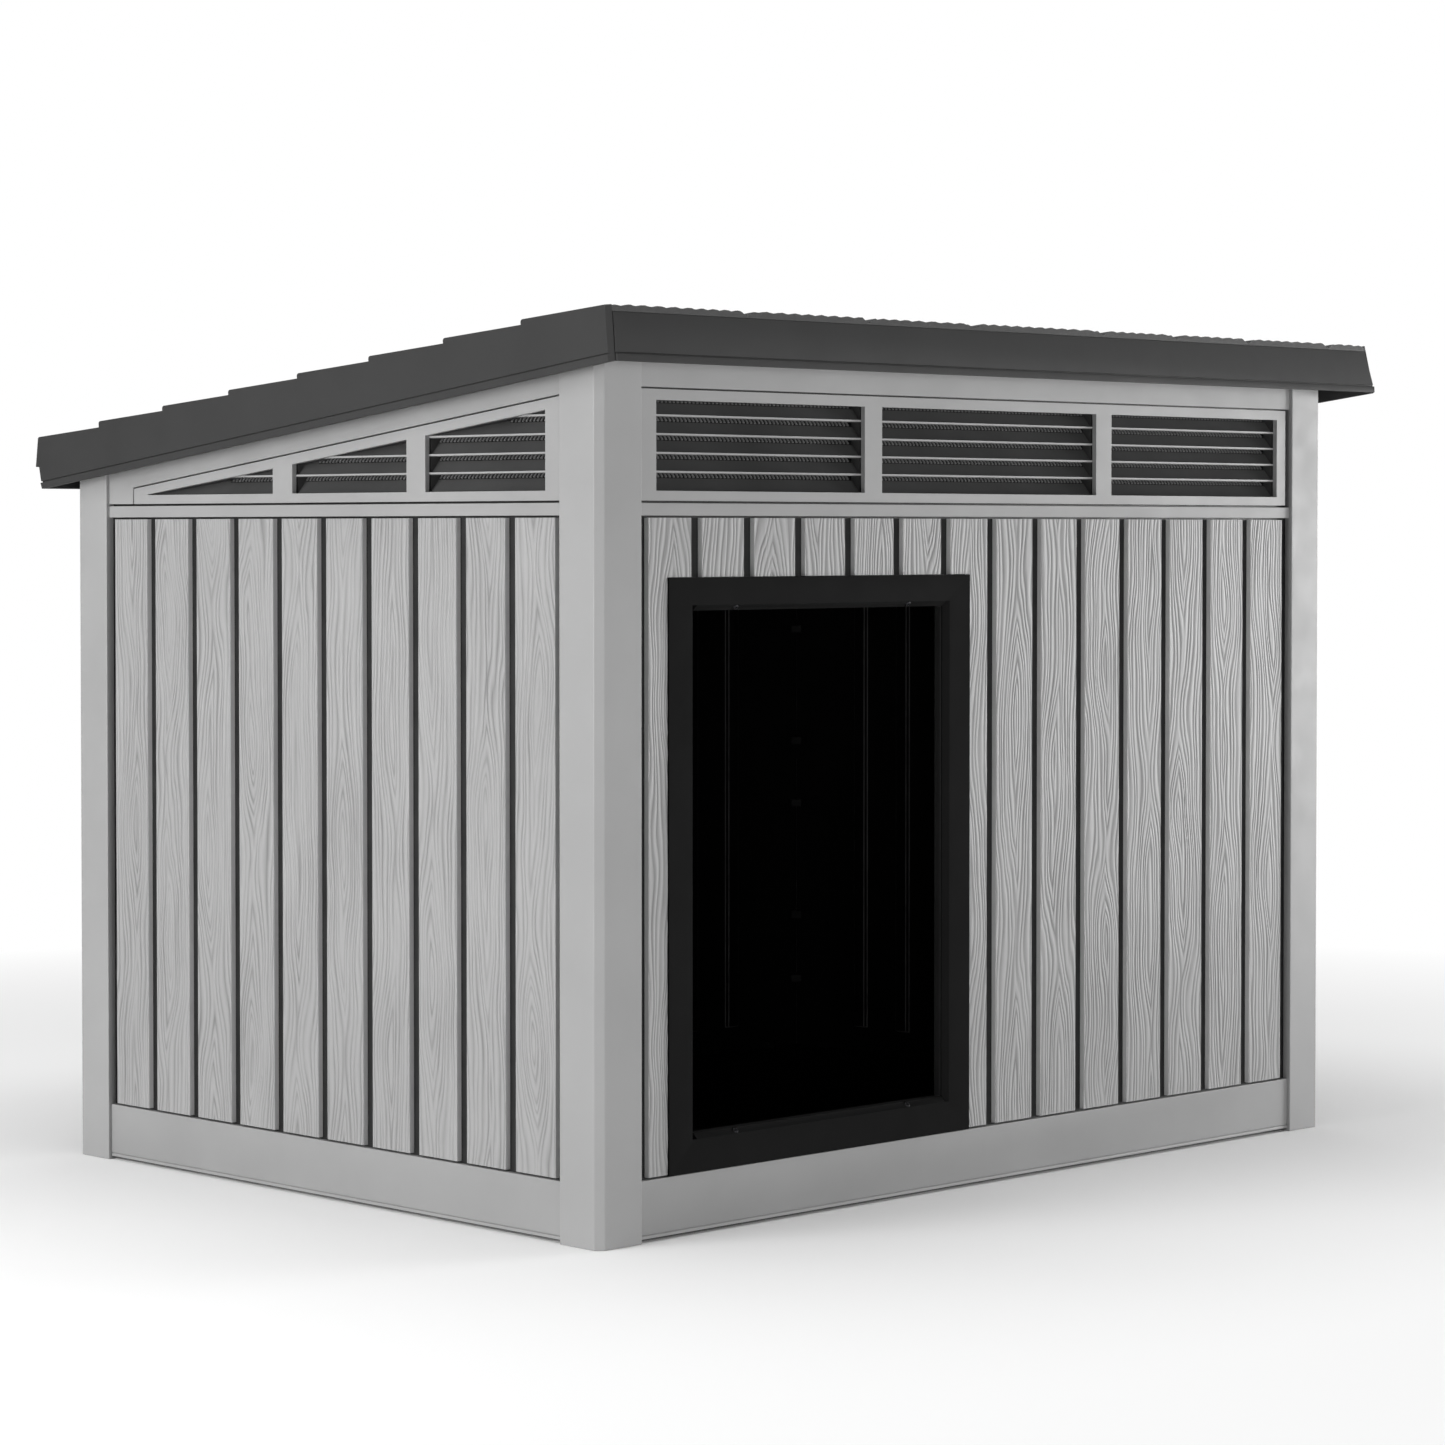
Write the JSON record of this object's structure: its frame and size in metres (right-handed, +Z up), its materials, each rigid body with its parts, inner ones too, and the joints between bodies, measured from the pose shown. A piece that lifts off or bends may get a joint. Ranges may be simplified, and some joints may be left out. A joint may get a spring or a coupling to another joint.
{
  "type": "calf hutch",
  "caption": "Kit livestock hutch with embossed plank walls, louvred vents under the eaves, an open doorway and a low-pitched shingled lean-to roof.",
  "frame": {"origin": "on the ground, under the centre of the whole object's box", "axes": "+X along the front, to the right when facing the doorway; the doorway faces -Y; the roof falls towards +Y; +Z up"},
  "size_m": [1.753, 1.356, 1.3119],
  "materials": {
    "plank_grain": "satin, embossed wood grain",
    "post_grey": "smooth satin",
    "board_grey": "smooth satin",
    "frame_grey": "smooth satin",
    "inner_black": "matt",
    "louvre_black": "matt",
    "door_black": "fine-grained matt",
    "screw_zinc": "blackened zinc",
    "rafter_steel": "powder-coated",
    "floor_black": "matt",
    "deck_black": "matt",
    "shingle_charcoal": "matt, shake texture",
    "fascia_charcoal": "satin"
  },
  "bodies": {
    "root": {"floor_panel": "floor_black", "floor_bearers": "floor_black", "post_front_left": "post_grey", "post_front_right": "post_grey", "post_rear_left": "post_grey", "post_rear_right": "post_grey", "front_inner_wall": "inner_black", "rear_inner_wall": "inner_black", "left_inner_wall": "inner_black", "right_inner_wall": "inner_black", "front_planks": "plank_grain", "rear_planks": "plank_grain", "left_planks": "plank_grain", "right_planks": "plank_grain", "front_kick_board": "board_grey", "rear_kick_board": "board_grey", "left_kick_board": "board_grey", "right_kick_board": "board_grey", "front_mid_rail": "board_grey", "rear_mid_rail": "board_grey", "left_mid_rail": "board_grey", "right_mid_rail": "board_grey", "front_header_board": "board_grey", "rear_header_board": "board_grey", "left_header_board": "board_grey", "right_header_board": "board_grey", "front_vent_frame": "frame_grey", "left_vent_frame": "frame_grey", "right_vent_frame": "frame_grey", "front_louvre_left": "louvre_black", "front_louvre_middle": "louvre_black", "front_louvre_right": "louvre_black", "left_louvre_front": "louvre_black", "left_louvre_middle": "louvre_black", "left_louvre_rear": "louvre_black", "right_louvre_front": "louvre_black", "right_louvre_middle": "louvre_black", "right_louvre_rear": "louvre_black", "door_surround": "door_black", "door_liner": "door_black", "door_screws": "screw_zinc", "rafter_left": "rafter_steel", "rafter_middle": "rafter_steel", "rafter_right": "rafter_steel", "rafter_bolts": "screw_zinc", "roof_deck": "deck_black", "shingle_course_1": "shingle_charcoal", "shingle_course_2": "shingle_charcoal", "shingle_course_3": "shingle_charcoal", "shingle_course_4": "shingle_charcoal", "shingle_course_5": "shingle_charcoal", "shingle_course_6": "shingle_charcoal", "shingle_course_7": "shingle_charcoal", "shingle_course_8": "shingle_charcoal", "front_fascia": "fascia_charcoal", "rear_fascia": "fascia_charcoal", "left_fascia": "fascia_charcoal", "right_fascia": "fascia_charcoal", "corner_clips": "floor_black", "floor_clips": "floor_black"}
  },
  "joints": []
}
